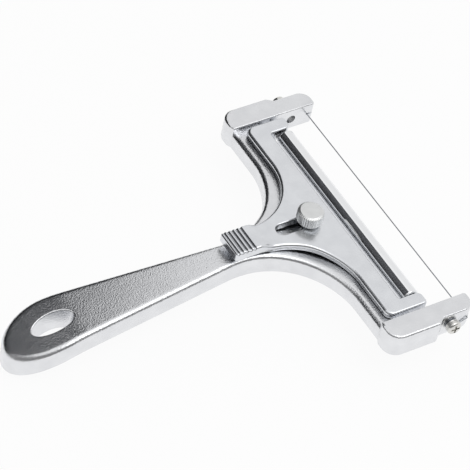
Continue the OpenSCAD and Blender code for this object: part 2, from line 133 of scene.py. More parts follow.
def add_node(tree, kind, settings=None, links=None):
    """Adds a node, sets its properties or sockets by name, and links sockets to (node, output) pairs."""
    node = tree.nodes.new(kind)
    for name, value in (settings or {}).items():
        if isinstance(name, str) and hasattr(node, name):
            setattr(node, name, value)
        else:
            node.inputs[name].default_value = value
    for name, (source, output) in (links or {}).items():
        tree.links.new(source.outputs[output], node.inputs[name])
    return node


def empty_tree(owner):
    """The node tree of a material or a world, cleared of the nodes that it starts with."""
    owner.use_nodes = True
    owner.node_tree.nodes.clear()
    return owner.node_tree


def metal(name, dark, light, rough, grain, height, cloud=6.0):
    """A plated or bare metal. Two tones drift into each other over clouds of a few millimetres, the same
    clouds vary the roughness between two values, and a grain of a given width and height in millimetres
    breaks up reflections."""
    material = bpy.data.materials.new(name)
    tree = empty_tree(material)
    place = add_node(tree, "ShaderNodeTexCoord")
    clouds = add_node(tree, "ShaderNodeTexNoise", {"Scale": per_mm(cloud), "Detail": CLOUD_DETAIL},
                      {"Vector": (place, "Object")})
    specks = add_node(tree, "ShaderNodeTexNoise",
                      {"Scale": per_mm(grain), "Detail": SPECK_DETAIL, "Roughness": SPECK_ROUGHNESS},
                      {"Vector": (place, "Object")})
    tone = add_node(tree, "ShaderNodeMix",
                    {"data_type": "RGBA", MIX_ONE: linear(dark), MIX_TWO: linear(light)},
                    {MIX_FACTOR: (clouds, "Fac")})
    gloss = add_node(tree, "ShaderNodeMapRange", {"To Min": rough[0], "To Max": rough[1]},
                     {"Value": (clouds, "Fac")})
    relief = add_node(tree, "ShaderNodeBump", {"Strength": 1.0, "Distance": height * MM},
                      {"Height": (specks, "Fac")})
    shader = add_node(tree, "ShaderNodeBsdfPrincipled", {"Metallic": 1.0},
                      {"Base Color": (tone, MIX_RESULT), "Roughness": (gloss, "Result"),
                       "Normal": (relief, "Normal")})
    add_node(tree, "ShaderNodeOutputMaterial", None, {"Surface": (shader, "BSDF")})
    print("finish:", name)
    return material


# %% [markdown]
# ## Finishes
# Everything on this tool is metal, apart from two small plastic bushes inside the roller. Each metal is told
# apart by how its surface was made, which the roughness, the grain and the clouds carry. The grain of a
# blasted skin is about a tenth of a millimetre, too fine to show in this picture, so it is drawn at 0.6 mm.

# %% Finishes
# Blasted, then plated: bright where it faces the light, broken into dark specks where it turns away
satin_casting = metal("satin_chrome_on_blasted_zinc", "#D9DADD", "#EFF0F2", (0.15, 0.23), grain=0.6, height=0.1)
# Ground smooth, then plated: soft, even reflections
satin_plate = metal("satin_chrome_on_smooth_zinc", "#D9DBDF", "#EDEFF2", (0.20, 0.28), grain=0.4, height=0.012)
# Polished: a nearly clear mirror with long dark and white bands
polished_chrome = metal("polished_chrome_tube", "#F0F1F3", "#F8F9FA", (0.04, 0.08), grain=0.6, height=0.0004,
                        cloud=9.0)
# Tumbled: a dull, slightly frosted top
satin_nickel = metal("tumbled_nickel", "#D7D8D8", "#EAEBEB", (0.30, 0.42), grain=0.3, height=0.012, cloud=3.0)
# Barrel-plated: a shine that is a little warmer than chrome
bright_nickel = metal("nickel_plated_screw", "#CDCCC8", "#ECEBE8", (0.16, 0.28), grain=0.4, height=0.004,
                      cloud=2.0)
# Drawn through a die: darker and greyer than the plated pieces
drawn_steel = metal("drawn_stainless_wire", "#9B9EA3", "#B7BABE", (0.18, 0.30), grain=0.15, height=0.002,
                    cloud=1.5)

# %% [markdown]
# The bushes are moulded acetal, a dark, slightly waxy plastic with the fine texture of its mould.

# %% Bush plastic
MOULD_GRAIN, MOULD_RELIEF = 0.5, 0.01
bush_plastic = bpy.data.materials.new("moulded_acetal")
tree = empty_tree(bush_plastic)
place = add_node(tree, "ShaderNodeTexCoord")
mottle = add_node(tree, "ShaderNodeTexNoise", {"Scale": per_mm(MOULD_GRAIN), "Detail": CLOUD_DETAIL},
                  {"Vector": (place, "Object")})
tone = add_node(tree, "ShaderNodeMix",
                {"data_type": "RGBA", MIX_ONE: linear("#2B2C2E"), MIX_TWO: linear("#3B3C3F")},
                {MIX_FACTOR: (mottle, "Fac")})
relief = add_node(tree, "ShaderNodeBump", {"Strength": 1.0, "Distance": MOULD_RELIEF * MM},
                  {"Height": (mottle, "Fac")})
shader = add_node(tree, "ShaderNodeBsdfPrincipled", {"Roughness": 0.45, "IOR": 1.48},
                  {"Base Color": (tone, MIX_RESULT), "Normal": (relief, "Normal")})
add_node(tree, "ShaderNodeOutputMaterial", None, {"Surface": (shader, "BSDF")})
print("finish:", bush_plastic.name)

# %% [markdown]
# ## From arrays to pieces
# Each piece is worked out as arrays of points in millimetres and faces of point numbers. One function puts
# them in a mesh, in metres, merges points that lie on each other, shades it smooth but for its sharp edges,
# and ties it to the body that it moves with and to the solid that it stands for.

# %% Mesh helpers
SHARP, SAME_PLACE = np.radians(32), 1e-7


def make_mesh(name, points, faces):
    """A mesh object from points in millimetres and lists of faces, with doubled points merged."""
    mesh = bpy.data.meshes.new(name)
    mesh.from_pydata((np.asarray(points) * MM).tolist(), [],
                     [face for group in faces for face in group.tolist()])
    merged = bmesh.new()
    merged.from_mesh(mesh)
    bmesh.ops.remove_doubles(merged, verts=merged.verts, dist=SAME_PLACE)
    bmesh.ops.recalc_face_normals(merged, faces=merged.faces)
    merged.to_mesh(mesh)
    merged.free()
    thing = bpy.data.objects.new(name, mesh)
    bpy.context.scene.collection.objects.link(thing)
    return thing


def finish_piece(thing, material, body, node):
    """Shades a piece, gives it its finish, rides it on its body and lets it stand for its solid."""
    thing.data.shade_smooth()
    thing.data.set_sharp_from_angle(angle=SHARP)
    weighted = thing.modifiers.new("even_shading", "WEIGHTED_NORMAL")
    weighted.keep_sharp = True
    thing.data.materials.clear()
    thing.data.materials.append(material)
    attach(thing, body)
    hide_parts(node)
    print(f"{thing.name}: {len(thing.data.polygons)} faces on {body}")
    return thing


def combine(target, others, operation):
    """Joins other shapes to a mesh, or cuts them out of it, and removes them."""
    for other in others:
        step = target.modifiers.new("step", "BOOLEAN")
        step.object = other
        step.operation = operation
        step.solver = "EXACT"
    seen = target.evaluated_get(bpy.context.evaluated_depsgraph_get())
    target.data = bpy.data.meshes.new_from_object(seen)
    target.modifiers.clear()
    for other in others:
        bpy.data.objects.remove(other)
    return target


# %% [markdown]
# ## Outlines
# Most pieces start as an outline seen from above. An outline is a list of corners with a radius each. It is
# rounded, filled up with points at even steps, and can be moved inwards along its normals, which is what
# rounding an edge needs.

# %% Outline helpers
DOUBLED = 1e-5


def rounded(corners, steps=8):
    """Corners (x, y, radius) joined by lines, each turned into an arc. The arc's centre lies on the bisector,
    radius over sin(half the angle) from the corner, and its points turn evenly from one side's normal to the
    other's."""
    corners = np.asarray(corners, float)
    spot, radius = corners[:, None, :2], corners[:, None, 2:]
    back = unit(np.roll(spot, 1, 0) - spot)
    on = unit(np.roll(spot, -1, 0) - spot)
    angle = np.arccos(np.clip((back * on).sum(-1, keepdims=True), -1, 1))
    centre = spot + unit(back + on) * radius / np.sin(angle / 2)
    start = spot + back * radius / np.tan(angle / 2) - centre
    end = spot + on * radius / np.tan(angle / 2) - centre
    share = np.linspace(0, 1, steps + 1)[None, :, None]
    turn = np.pi - angle
    swept = (np.sin((1 - share) * turn) * start + np.sin(share * turn) * end) / np.sin(turn)
    return distinct((centre + swept).reshape(-1, 2))


def distinct(points):
    """Points without those that lie on the point before them."""
    gap = np.linalg.norm(points - np.roll(points, 1, 0), axis=1)
    return points[gap > DOUBLED]


def dense(ring, step):
    """A closed ring with every side divided into equal parts no longer than a step, one for all sides or one
    each."""
    side = np.roll(ring, -1, 0) - ring
    parts = np.ceil(np.linalg.norm(side, axis=1) / step).astype(int)
    which = np.repeat(np.arange(len(ring)), parts)
    share = (np.arange(parts.sum()) - np.repeat(np.cumsum(parts) - parts, parts)) / parts[which]
    return ring[which] + share[:, None] * side[which]


def drawn_in(ring, depth):
    """A closed ring moved to its left by a depth, each point along the mitre (n1 + n2) / (1 + n1 . n2) of its
    sides."""
    along = unit(np.roll(ring, -1, 0) - ring)
    after = np.column_stack((-along[:, 1], along[:, 0]))
    before = np.roll(after, 1, 0)
    mitre = (after + before) / (1 + (after * before).sum(1))[:, None]
    return ring + np.reshape(depth, (-1, 1)) * mitre


def both_halves(half):
    """A half outline on the left side, closed by its mirror image on the right."""
    return distinct(np.concatenate((half, half[::-1] * (1, -1))))


def smooth(share):
    """An easy rise from 0 to 1: 3 s^2 - 2 s^3."""
    share = np.clip(share, 0, 1)
    return share * share * (3 - 2 * share)


# %% [markdown]
# ## Slabs with rounded edges
# The casting, its ears and the plate are all slabs: an outline with a top and an underside that rise and fall
# along the length. A quarter circle is carried around the outline at the top and at the bottom edge. The
# faces in between are filled with triangles on a grid, by a Delaunay triangulation that keeps to the outline.

# %% Slab helpers
CLEAR_OF_EDGE, CDT_NEAR = 0.25, 1e-6


def inside(spots, rings):
    """True for the spots that a ray to the right leaves through an odd number of ring sides."""
    x, y = spots[:, :1], spots[:, 1:]
    odd = np.zeros(len(spots), bool)
    for ring in rings:
        far = np.roll(ring, -1, 0)
        crosses = (ring[:, 1] > y) != (far[:, 1] > y)
        rise = np.where(crosses, far[:, 1] - ring[:, 1], 1)
        reach = ring[:, 0] + (y - ring[:, 1]) / rise * (far[:, 0] - ring[:, 0])
        odd ^= (crosses & (x < reach)).sum(1) % 2 == 1
    return odd


def filled(rings, grid):
    """Inner points and triangles over the area between rings. Triangles number the rings' points first."""
    outline = np.concatenate(rings)
    ends = np.cumsum([len(ring) for ring in rings])
    sides = np.concatenate([np.column_stack((np.arange(end - len(ring), end),
                                             np.roll(np.arange(end - len(ring), end), -1)))
                            for ring, end in zip(rings, ends)])
    inner = grid[inside(grid, rings)]
    clear = np.min(np.linalg.norm(inner[:, None] - outline[None], axis=2), axis=1) > CLEAR_OF_EDGE
    inner = inner[clear]
    spots = np.concatenate((outline, inner))
    result = delaunay_2d_cdt(spots.tolist(), sides.tolist(), [], 0, CDT_NEAR)
    number = np.array([source[0] for source in result[3]])
    triangles = number[np.array(result[2])]
    return inner, triangles[inside(spots[triangles].mean(1), rings)]


def slab(name, contours, top, under, grid, steps=6):
    """A slab from contours (upper ring, lower ring, top edge radius, lower edge radius), the outside first
    and counter-clockwise, holes clockwise. Down an edge of radius r the ring comes out by r sin(a) as it sinks
    by r (1 - cos(a)), for a from 0 to 90 degrees."""
    turn = np.radians(np.linspace(0, 90, steps + 1))
    walls, faces, first = [], [], 0
    lids = ([], [])
    for upper, lower, top_r, low_r in contours:
        rings = [drawn_in(upper, top_r * (1 - np.sin(a))) for a in turn]
        rings += [drawn_in(lower, low_r * (1 - np.sin(a))) for a in turn[::-1]]
        heights = [top(*ring.T) - top_r * (1 - np.cos(a)) for ring, a in zip(rings, turn)]
        heights += [under(*ring.T) + low_r * (1 - np.cos(a))
                    for ring, a in zip(rings[steps + 1:], turn[::-1])]
        count, levels = len(upper), len(rings)
        number = first + np.arange(count * levels).reshape(levels, count)
        after = np.roll(number, -1, 1)
        faces.append(np.stack((number[:-1], number[1:], after[1:], after[:-1]), -1).reshape(-1, 4))
        walls.append(np.column_stack((np.concatenate(rings), np.concatenate(heights))))
        lids[0].append((rings[0], number[0]))
        lids[1].append((rings[-1], number[-1]))
        first += count * levels
    for lid, surface, order in zip(lids, (top, under), (1, -1)):
        inner, triangles = filled([ring for ring, _ in lid], grid)
        number = np.concatenate([numbers for _, numbers in lid] + [first + np.arange(len(inner))])
        faces.append(number[triangles][:, ::order])
        walls.append(np.column_stack((inner, surface(*inner.T))))
        first += len(inner)
    return make_mesh(name, np.concatenate(walls), faces)


def grid_over(low, high, step):
    """Points of a square grid between two corners."""
    x, y = (np.arange(a, b, step) for a, b in zip(low, high))
    return np.stack(np.meshgrid(x, y), -1).reshape(-1, 2)


def ellipse(centre, length, width, count=72):
    """A clockwise ring of points on an ellipse."""
    angle = -np.linspace(0, 2 * np.pi, count, endpoint=False)
    return np.array(centre) + np.column_stack((length / 2 * np.cos(angle), width / 2 * np.sin(angle)))


# %% [markdown]
# ## The casting
# Handle, neck, crossbar and ears are one zinc casting. Seen from above, the handle widens at a small angle
# and ends in a long round. Seen from the side, it slopes down and its end curls. The crossbar and the two
# ears could be drawn as one outline, but the ears stand higher, so they are slabs of their own that are
# joined to the bar.

# %% Heights of the casting


def handle_top(x):
    """A line that falls towards the tip, less a parabola of the curl's radius past the place where it
    starts."""
    return NECK_Z - (NECK_X - x) * np.tan(SLOPE) - np.maximum(CURL_X - x, 0) ** 2 / (2 * CURL_R)


def handle_share(x):
    """0 on the crossbar, 1 on the handle, with an easy ramp between."""
    return smooth((RAMP_FRONT_X - x) / (RAMP_FRONT_X - RAMP_BACK_X))


def casting_top(x, y):
    """The bar's level top, eased into the handle's."""
    return BAR_Z + (handle_top(x) - BAR_Z) * handle_share(x)


def casting_under(x, y):
    """The bar's underside, eased into a surface one handle's height below the handle's top."""
    return HEAD_Z + (handle_top(x) - HANDLE_HEIGHT - HEAD_Z) * handle_share(x)


# %% Outline of the casting
TOP_EDGE_R, FRONT_EDGE_R, UNDER_EDGE_R, RIM_R = 2.2, 0.2, 0.9, 0.5
BAR_FRONT_X, BAR_END_Y, AT_FRONT = 62.75, 59.4, 0.1
CASTING_STEP, ARC_STEPS, BORE_EDGE_R, BORE_POINTS = 1.3, 40, 0.2, 40


def taper_y(x):
    """Half width of the handle: a line at the taper's angle, tangent to the shoulder's arc."""
    start_x = NECK_X - SHOULDER_R * np.sin(TAPER)
    start_y = NECK_WIDTH / 2 + SHOULDER_R * (1 - np.cos(TAPER))
    return start_y + (start_x - x) * np.tan(TAPER)


tip_angle = np.radians(np.linspace(0, 90, ARC_STEPS))
tip_curve_x = TIP_X + TIP_LENGTH * (1 - np.sin(tip_angle))
tip_curve = np.column_stack((tip_curve_x, taper_y(tip_curve_x) * np.cos(tip_angle)))
shoulder = rounded([(BAR_FRONT_X, BAR_END_Y, 0), (BAR_BACK_X, BAR_END_Y, 0),
                    (BAR_BACK_X, taper_y(BAR_BACK_X), SHOULDER_R), (tip_curve[0, 0], tip_curve[0, 1], 0)],
                   steps=ARC_STEPS)
casting_ring = dense(both_halves(np.concatenate((shoulder, tip_curve[1:]))), CASTING_STEP)
hang_upper = ellipse((HANG_X, 0), HANG_LENGTH, HANG_WIDTH)
hang_lower = ellipse((HANG_X, 0), HANG_LENGTH - 2 * HANG_DRAFT, HANG_WIDTH - 2 * HANG_DRAFT)
stud_bore = ellipse((STUD_X, 0), 2 * (STUD_R + BORE_GAP), 2 * (STUD_R + BORE_GAP), BORE_POINTS)
casting_edge = np.where(casting_ring[:, 0] > BAR_FRONT_X - AT_FRONT, FRONT_EDGE_R, TOP_EDGE_R)
casting = slab("frame_casting",
               [(casting_ring, casting_ring, casting_edge, UNDER_EDGE_R),
                (hang_upper, hang_lower, RIM_R, RIM_R), (stud_bore, stud_bore, BORE_EDGE_R, BORE_EDGE_R)],
               casting_top, casting_under,
               grid_over((TIP_X, -BAR_END_Y), (BAR_FRONT_X, BAR_END_Y), CASTING_STEP))
print("casting outline of", len(casting_ring), "points")

# %% Ears of the casting
EAR_CORNER_R, EAR_NOSE_R, EAR_EDGE_R, EAR_BACK_EDGE_R = 6.0, 5.0, 0.6, 1.1
EAR_FRONT_R, EAR_STEP_R, STEP_SLANT = 1.3, 1.6, (1.9, 0.9)
EAR_PROUD, EAR_SPACING, EAR_GRID, EDGE_BLEND, EDGE_PAST = 0.02, 1.0, 1.5, 3.0, 1.0
SLIT_WIDTH = 1.0


def ear_ring(side):
    """An ear seen from above, on the left for side 1 or the right for side -1: a bar with a step in its outer
    side and a slant behind that meets the crossbar's back."""
    step_x, lane, back = FRONT_X - EAR_FRONT, EAR_OUTER - EAR_STEP, BACK_X - EAR_PROUD
    ring = rounded([(FRONT_X, EAR_INNER, EAR_FRONT_R), (FRONT_X, lane, EAR_NOSE_R),
                    (step_x + STEP_SLANT[0], lane, EAR_STEP_R), (step_x - STEP_SLANT[1], EAR_OUTER, EAR_STEP_R),
                    (back, EAR_OUTER, EAR_CORNER_R), (back, EAR_INNER + 2 * (BAR_BACK_X - BACK_X), 0),
                    (BAR_BACK_X - EAR_PROUD, EAR_INNER, 0)])
    ring = dense(ring, EAR_SPACING)
    return ring if side > 0 else ring[::-1] * (1, -1)


def box_shape(name, low, high):
    """A plain box, used only to cut."""
    corner = np.array(np.meshgrid(*zip(low, high), indexing="ij")).reshape(3, -1).T
    sides = [(0, 1, 3, 2), (4, 6, 7, 5), (0, 4, 5, 1), (2, 3, 7, 6), (0, 2, 6, 4), (1, 5, 7, 3)]
    return make_mesh(name, corner, [np.array(sides)])


def through_ear(side):
    """Where a cutter through an ear starts and ends along Y."""
    return sorted((side * (EAR_INNER - CUT_OVER), side * (EAR_OUTER + CUT_OVER)))


ears = []
for side in (1, -1):
    ring = ear_ring(side)
    outer = smooth((np.abs(ring[:, 1]) - EAR_INNER - EDGE_BLEND) / EDGE_BLEND)
    outer_back = outer * smooth((FRONT_X - EAR_FRONT + EDGE_PAST - ring[:, 0]) / EDGE_BLEND)
    edge = EAR_EDGE_R + (EAR_BACK_EDGE_R - EAR_EDGE_R) * outer_back
    ear = slab("ear", [(ring, ring, edge, UNDER_EDGE_R * np.ones(len(ring)))],
               lambda x, y: np.full_like(x, EAR_Z), lambda x, y: np.full_like(x, HEAD_Z - EAR_PROUD),
               grid_over(ring.min(0), ring.max(0), EAR_GRID))
    start, end = through_ear(side)
    slit = box_shape("slit", (WIRE_X - WIRE_R - WIRE_GAP, start, WIRE_Z - SLIT_WIDTH / 2),
                     (FRONT_X + CUT_OVER, end, WIRE_Z + SLIT_WIDTH / 2))
    ears.append(combine(ear, [slit], "DIFFERENCE"))
print("ears joined to the bar:", len(ears))

# %% [markdown]
# ## Turned pieces
# The roller, its axle and bushes, the washers and the screws are all turned on a lathe, so each is a profile
# carried around an axis. The profile is a list of corners (radius, place along the axis, rounding).

# %% Lathe helper


def turned(name, corners, centre, axis, count=64, closed=False, steps=5):
    """A profile of (radius, length, rounding) carried around an axis through a centre: 'z' up, 'y' to the
    left."""
    profile = rounded(corners, steps)
    angle = np.linspace(0, 2 * np.pi, count, endpoint=False)
    radius, length = profile[:, :1], np.repeat(profile[:, 1:], count, 1)
    one, two = radius * np.cos(angle), radius * np.sin(angle)
    grid = np.stack((one, two, length) if axis == "z" else (two, length, one), -1) + np.array(centre)
    return make_mesh(name, grid.reshape(-1, 3), [wrapped(*grid.shape[:2], closed)])


def wrapped(rows, columns, closed):
    """Quads of a grid whose columns close in a circle, and whose rows do too where it is closed."""
    number = np.arange(rows * columns).reshape(rows, columns)
    near = number if closed else number[:-1]
    far = np.roll(number, -1, 0) if closed else number[1:]
    return np.stack((near, far, np.roll(far, -1, 1), np.roll(near, -1, 1)), -1).reshape(-1, 4)


# %% Screw bores through the ears
for ear, side in zip(ears, (1, -1)):
    start, end = through_ear(side)
    bore = turned("bore", [(0, start, 0), (SCREW_R + BORE_GAP, start, 0), (SCREW_R + BORE_GAP, end, 0),
                           (0, end, 0)], (SCREW_X, 0, SCREW_Z), "y", BORE_POINTS)
    combine(ear, [bore], "DIFFERENCE")
combine(casting, ears, "UNION")
finish_piece(casting, satin_casting, "slicer_frame", "frame")

# %% [markdown]
# ## The sliding plate
# The plate is a flat T. Its two arms end in lugs that reach down and hold the roller's axle, its middle is
# raised where the thumb screw clamps it, and its tail is a tab with grooves for the thumb. The grooves are
# part of the top surface: a soft trough every 1.9 mm, which needs finer points than the rest. The edges of
# the hollow shoulders are rounder than the others.

# %% Plate
TAB_EDGE_R, SHOULDER_EDGE_R, ARM_EDGE_R, WINDOW_EDGE_R = 1.0, 1.4, 0.9, 0.9
PLATE_UNDER_R, SLOT_BEVEL, SLOT_UNDER_R = 0.4, 0.7, 0.2
WINDOW_CORNER_R, TAB_CORNER_R = 0.8, 1.2
# A hair less than half the slot's width, so that the two corners of an end stay apart
SLOT_END_R = SLOT_R - 0.01
PLATE_STEP, TAB_STEP, SLOT_STEP, PLATE_GRID, TAB_GRID, TAB_REACH = 1.2, 0.22, 0.8, 1.3, 0.24, 20.0
EDGE_CHANGE, WINDOW_NEAR = (1.0, 4.0), (0.5, 1.0)
GROOVE_COUNT, GROOVE_START, GROOVE_PITCH = 5, 0.7, 1.9
GROOVE_WIDTH, GROOVE_DEPTH, GROOVE_POWER = 1.2, 0.6, 0.6
TAB_GROOVED = TAB_X + GROOVE_START + GROOVE_COUNT * GROOVE_PITCH


def tab_share(x):
    """0 on the plate, 1 on the thumb tab, with an easy ramp between."""
    return smooth((TAB_RAMP[0] - x) / (TAB_RAMP[0] - TAB_RAMP[1]))


def plate_base(x):
    """Height of the plate's top without its grooves: level at the roller, then two easy ramps up."""
    middle = smooth((MIDDLE_RAMP[0] - x) / (MIDDLE_RAMP[0] - MIDDLE_RAMP[1]))
    return PLATE_TOP + MIDDLE_RISE * middle + TAB_RISE * tab_share(x)


def plate_top(x, y):
    """The plate's top less its grooves. Across a groove of width w its depth is cos(pi s / w) to a power below
    1, with s from the groove's middle, which makes the trough rounder than a cosine."""
    place = (x - TAB_X - GROOVE_START) / GROOVE_PITCH
    off = (place - np.floor(place) - GROOVE_WIDTH / GROOVE_PITCH / 2) * GROOVE_PITCH
    trough = np.cos(np.pi * np.clip(off / GROOVE_WIDTH, -0.5, 0.5)) ** GROOVE_POWER
    return plate_base(x) - GROOVE_DEPTH * trough * ((place >= 0) & (place < GROOVE_COUNT))


def plate_under(x, y):
    """The plate's underside: as deep as the plate is thick, and deeper under the tab."""
    return plate_base(x) - PLATE_HEIGHT - (TAB_HEIGHT - PLATE_HEIGHT) * tab_share(x)


half_plate = [(WINDOW_X, ARM_INNER, WINDOW_CORNER_R), (ARM_X, ARM_INNER, ARM_NOSE_R),
              (ARM_X, PLATE_HALF, ARM_CORNER_R), (WING_X, PLATE_HALF, PLATE_CORNER_R),
              (WING_X, TAB_WIDTH / 2, PLATE_SHOULDER_R), (TAB_X, TAB_WIDTH / 2, TAB_CORNER_R)]
corners = half_plate + [(x, -y, r) for x, y, r in half_plate[::-1]]
plate_ring = rounded(corners, steps=24)
plate_ring = dense(plate_ring, np.where(plate_ring[:, 0] < WING_X - TAB_REACH, TAB_STEP, PLATE_STEP))
slot_front, slot_back = STUD_X + SLOT_R, STUD_X - SLOT_RUN - SLOT_R
slot_ring = rounded([(slot_front, SLOT_R, SLOT_END_R), (slot_front, -SLOT_R, SLOT_END_R),
                     (slot_back, -SLOT_R, SLOT_END_R), (slot_back, SLOT_R, SLOT_END_R)], steps=16)
slot_ring = dense(slot_ring, SLOT_STEP)
plate_grid = np.concatenate((grid_over((TAB_GROOVED, -PLATE_HALF), (ARM_X, PLATE_HALF), PLATE_GRID),
                             grid_over((TAB_X, -TAB_WIDTH / 2), (TAB_GROOVED, TAB_WIDTH / 2), TAB_GRID)))
plate_edge = np.interp(plate_ring[:, 0],
                       (TAB_RAMP[1], TAB_RAMP[0], WING_X + EDGE_CHANGE[0], WING_X + EDGE_CHANGE[1]),
                       (TAB_EDGE_R, SHOULDER_EDGE_R, SHOULDER_EDGE_R, ARM_EDGE_R))
at_window = plate_ring[:, 0] > WINDOW_X - WINDOW_NEAR[0]
at_window &= np.abs(plate_ring[:, 1]) < ARM_INNER + WINDOW_NEAR[1]
plate_edge = np.where(at_window, WINDOW_EDGE_R, plate_edge)
plate = slab("sliding_plate", [(plate_ring, plate_ring, plate_edge, PLATE_UNDER_R),
                               (slot_ring, slot_ring, SLOT_BEVEL, SLOT_UNDER_R)],
             plate_top, plate_under, plate_grid)
print("plate outline of", len(plate_ring), "points,", GROOVE_COUNT, "grooves")

# %% Lugs under the arms
LUG_INSET, LUG_ROOT, LUG_TOP_R, LUG_CORNER_R = 0.03, 1.4, 0.2, 0.6
LUG_STEP, LUG_GRID = 0.8, 1.2
lug_corners = [(LUG_X, ARM_INNER, LUG_CORNER_R), (ARM_X, ARM_INNER, ARM_NOSE_R),
               (ARM_X, PLATE_HALF, ARM_CORNER_R), (LUG_X, PLATE_HALF, LUG_CORNER_R)]
lug_ring = drawn_in(dense(rounded(lug_corners), LUG_STEP), LUG_INSET)
lugs = [slab("lug", [(ring, ring, LUG_TOP_R, PLATE_UNDER_R)],
             lambda x, y: np.full_like(x, PLATE_TOP - LUG_ROOT),
             lambda x, y: np.full_like(x, PLATE_TOP - LUG_HEIGHT),
             grid_over(ring.min(0), ring.max(0), LUG_GRID))
        for ring in (lug_ring, lug_ring[::-1] * (1, -1))]
combine(plate, lugs, "UNION")
finish_piece(plate, satin_plate, "plate", "thickness_plate")

# %% [markdown]
# ## The roller
# The roller is a thin polished tube with a plastic bush pressed into each end, turning on a steel pin. The
# pin's ends are slightly domed where they were peened over in the arms. The roller has some play along the
# pin and lies at the right arm.

# %% Roller
ROLLER_R, ROLLER_WALL, ROLLER_HALF, ROLLER_EDGE = 4.0, 0.8, 48.1, 0.7
AXLE_R, AXLE_DOME, AXLE_EDGE = 0.9, 0.25, 0.4
BUSH_LENGTH, BUSH_SHOULDER_R, BUSH_GAP, BUSH_PLAY = 6.0, 2.3, 0.75, 0.05
BUSH_FIT, BUSH_SUNK = 0.02, 0.1
axle_at, roller_at = (ROLLER_X, 0, ROLLER_Z), (ROLLER_X, -ROLLER_SHIFT, ROLLER_Z)
bore_r = ROLLER_R - ROLLER_WALL
tube = turned("roller_sleeve", [(bore_r, -ROLLER_HALF, 0.15), (ROLLER_R, -ROLLER_HALF, ROLLER_EDGE),
                                (ROLLER_R, ROLLER_HALF, ROLLER_EDGE), (bore_r, ROLLER_HALF, 0.15)],
              roller_at, "y", count=96, closed=True)
finish_piece(tube, polished_chrome, "roller", "roller_tube")
axle_end = PLATE_HALF + AXLE_DOME
axle = turned("roller_pin", [(0, -axle_end, 0), (AXLE_R, -axle_end, AXLE_EDGE), (AXLE_R, axle_end, AXLE_EDGE),
                             (0, axle_end, 0)], axle_at, "y", count=40)
finish_piece(axle, drawn_steel, "plate", "roller_axle")
for side, word in ((1, "left"), (-1, "right")):
    inner_r, outer_r = AXLE_R + BUSH_PLAY, bore_r - BUSH_FIT
    bush_in, bush_face, bush_end = ROLLER_HALF - BUSH_LENGTH, ROLLER_HALF - BUSH_SUNK, ARM_INNER - BUSH_GAP
    profile = [(inner_r, bush_in, 0), (outer_r, bush_in, 0.3), (outer_r, bush_face, 0.2),
               (BUSH_SHOULDER_R, bush_face, 0.1), (BUSH_SHOULDER_R, bush_end, 0.12), (inner_r, bush_end, 0.1)]
    bush = turned("end_bush_" + word, [(r, side * y, edge) for r, y, edge in profile], roller_at, "y", count=48,
                  closed=True)
    finish_piece(bush, bush_plastic, "roller", "roller_bush_" + word)

# %% [markdown]
# ## The thumb screw
# The knob is turned from bar, knurled with straight teeth and bevelled at both ends. A turned profile alone
# would be smooth, so the band between the bevels gets a zigzag in its radius that runs with the angle. The
# stud below it has a real thread: its radius follows a triangle wave along a helix.

# %% Knob
KNOB_R, KNOB_HEIGHT, KNOB_BEVEL, LOWER_BEVEL, BEVEL_HEIGHT = 5.5, 5.4, 1.1, 0.9, 0.6
KNURL_COUNT, KNURL_DEPTH, KNURL_REACH, KNURL_FADE, TOOTH_POINTS = 36, 0.3, 0.45, 0.3, 8
WASHER_R, WASHER_HEIGHT, WASHER_LIFT = 4.7, 0.4, 0.02
knob_z = CLAMP_Z + WASHER_HEIGHT


def zigzag(turns):
    """A triangle wave from 0 to 1 and back for each turn."""
    return np.abs(2 * (turns - np.floor(turns + 0.5)))


knob_profile = rounded([(0, 0, 0), (KNOB_R - LOWER_BEVEL, 0, 0.2), (KNOB_R, BEVEL_HEIGHT, 0.2),
                        (KNOB_R, KNOB_HEIGHT - BEVEL_HEIGHT, 0.25), (KNOB_R - KNOB_BEVEL, KNOB_HEIGHT, 0.35),
                        (0, KNOB_HEIGHT, 0)], steps=5)
knob_angle = np.linspace(0, 2 * np.pi, KNURL_COUNT * TOOTH_POINTS, endpoint=False)
knurled = smooth((knob_profile[:, :1] - (KNOB_R - KNURL_REACH)) / KNURL_FADE)
knob_radius = knob_profile[:, :1] - knurled * KNURL_DEPTH * zigzag(KNURL_COUNT * knob_angle / (2 * np.pi))
knob_grid = np.stack((STUD_X + knob_radius * np.cos(knob_angle), knob_radius * np.sin(knob_angle),
                      np.repeat(knob_z + knob_profile[:, 1:], len(knob_angle), 1)), -1)
knob = make_mesh("knurled_knob", knob_grid.reshape(-1, 3), [wrapped(*knob_grid.shape[:2], False)])
finish_piece(knob, satin_nickel, "thumb_screw", "thumb_knob")

# %% Stud and washer
THREAD_PITCH, THREAD_DEPTH, STUD_GRIP, STUD_SEAT = 0.7, 0.38, 5.0, 3.0
LEAD_LENGTH, LEAD_INSET, STUD_POINTS, STUD_LEVELS = 0.6, 0.5, 32, 141
stud_low, stud_high = BAR_Z - STUD_GRIP, knob_z + STUD_SEAT
stud_angle = np.linspace(0, 2 * np.pi, STUD_POINTS, endpoint=False)
stud_height = np.linspace(stud_low, stud_high, STUD_LEVELS)[:, None]
lead_in = smooth((stud_height - stud_low) / LEAD_LENGTH)
thread = zigzag((stud_height - stud_low) / THREAD_PITCH - stud_angle / (2 * np.pi))
stud_radius = STUD_R - LEAD_INSET + LEAD_INSET * lead_in - THREAD_DEPTH * lead_in * thread
stud_point = np.zeros((1, STUD_POINTS))
stud_radius = np.concatenate((stud_point, stud_radius, stud_point))
stud_height = np.concatenate(([[stud_low]], stud_height, [[stud_high]]))
stud_grid = np.stack((STUD_X + stud_radius * np.cos(stud_angle), stud_radius * np.sin(stud_angle),
                      np.repeat(stud_height, STUD_POINTS, 1)), -1)
